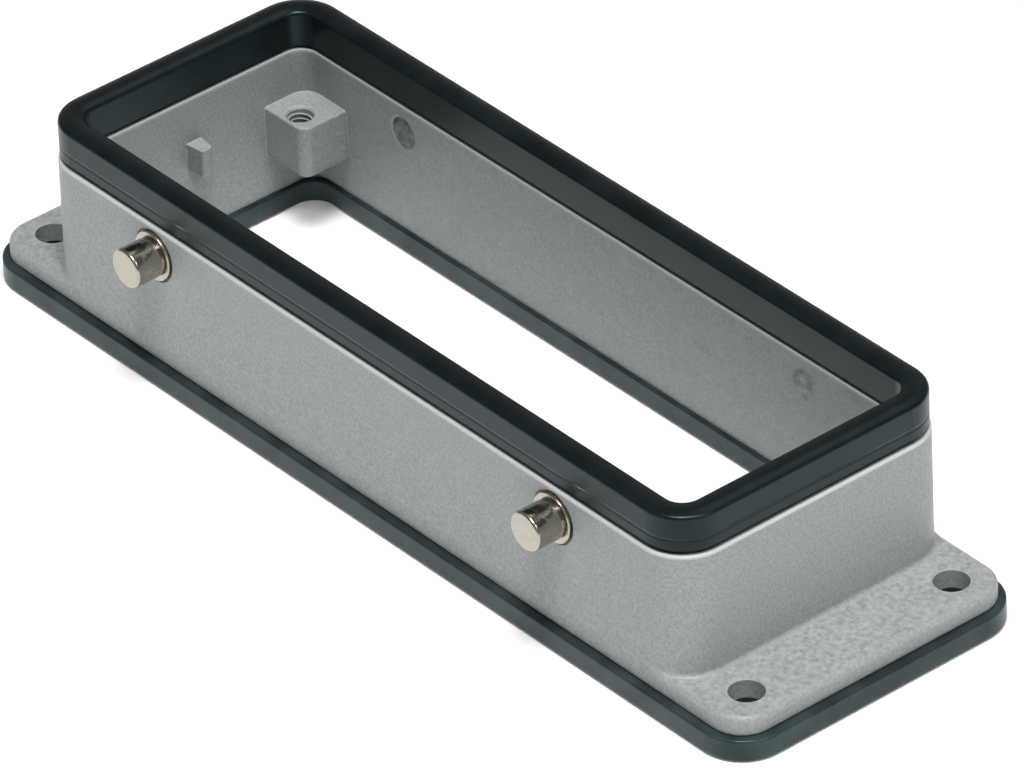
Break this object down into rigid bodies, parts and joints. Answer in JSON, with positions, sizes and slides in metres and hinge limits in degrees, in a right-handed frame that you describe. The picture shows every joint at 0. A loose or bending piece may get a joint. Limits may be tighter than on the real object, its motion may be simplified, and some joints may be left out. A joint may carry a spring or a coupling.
{
  "type": "connector mounting housing",
  "caption": "Panel mounting housing of a heavy duty rectangular connector, with locking pegs for the hood's levers, bosses for the contact block, a hood seal and a flange gasket.",
  "frame": {"origin": "on the panel face under the gasket, in the middle of the four flange screws", "axes": "+X along the long side, +Z away from the panel towards the hood, the front on -Y"},
  "size_m": [0.142, 0.0516, 0.0284],
  "materials": {
    "coated_die_cast_aluminium": "matte",
    "seal_rubber": "satin",
    "gasket_rubber": "satin",
    "nickel_plated_steel": "satin"
  },
  "bodies": {
    "root": {"housing": "coated_die_cast_aluminium", "hood_seal": "seal_rubber", "flange_gasket": "gasket_rubber", "locking_peg_front_left": "nickel_plated_steel", "locking_peg_front_right": "nickel_plated_steel", "locking_peg_rear_left": "nickel_plated_steel", "locking_peg_rear_right": "nickel_plated_steel"}
  },
  "joints": []
}
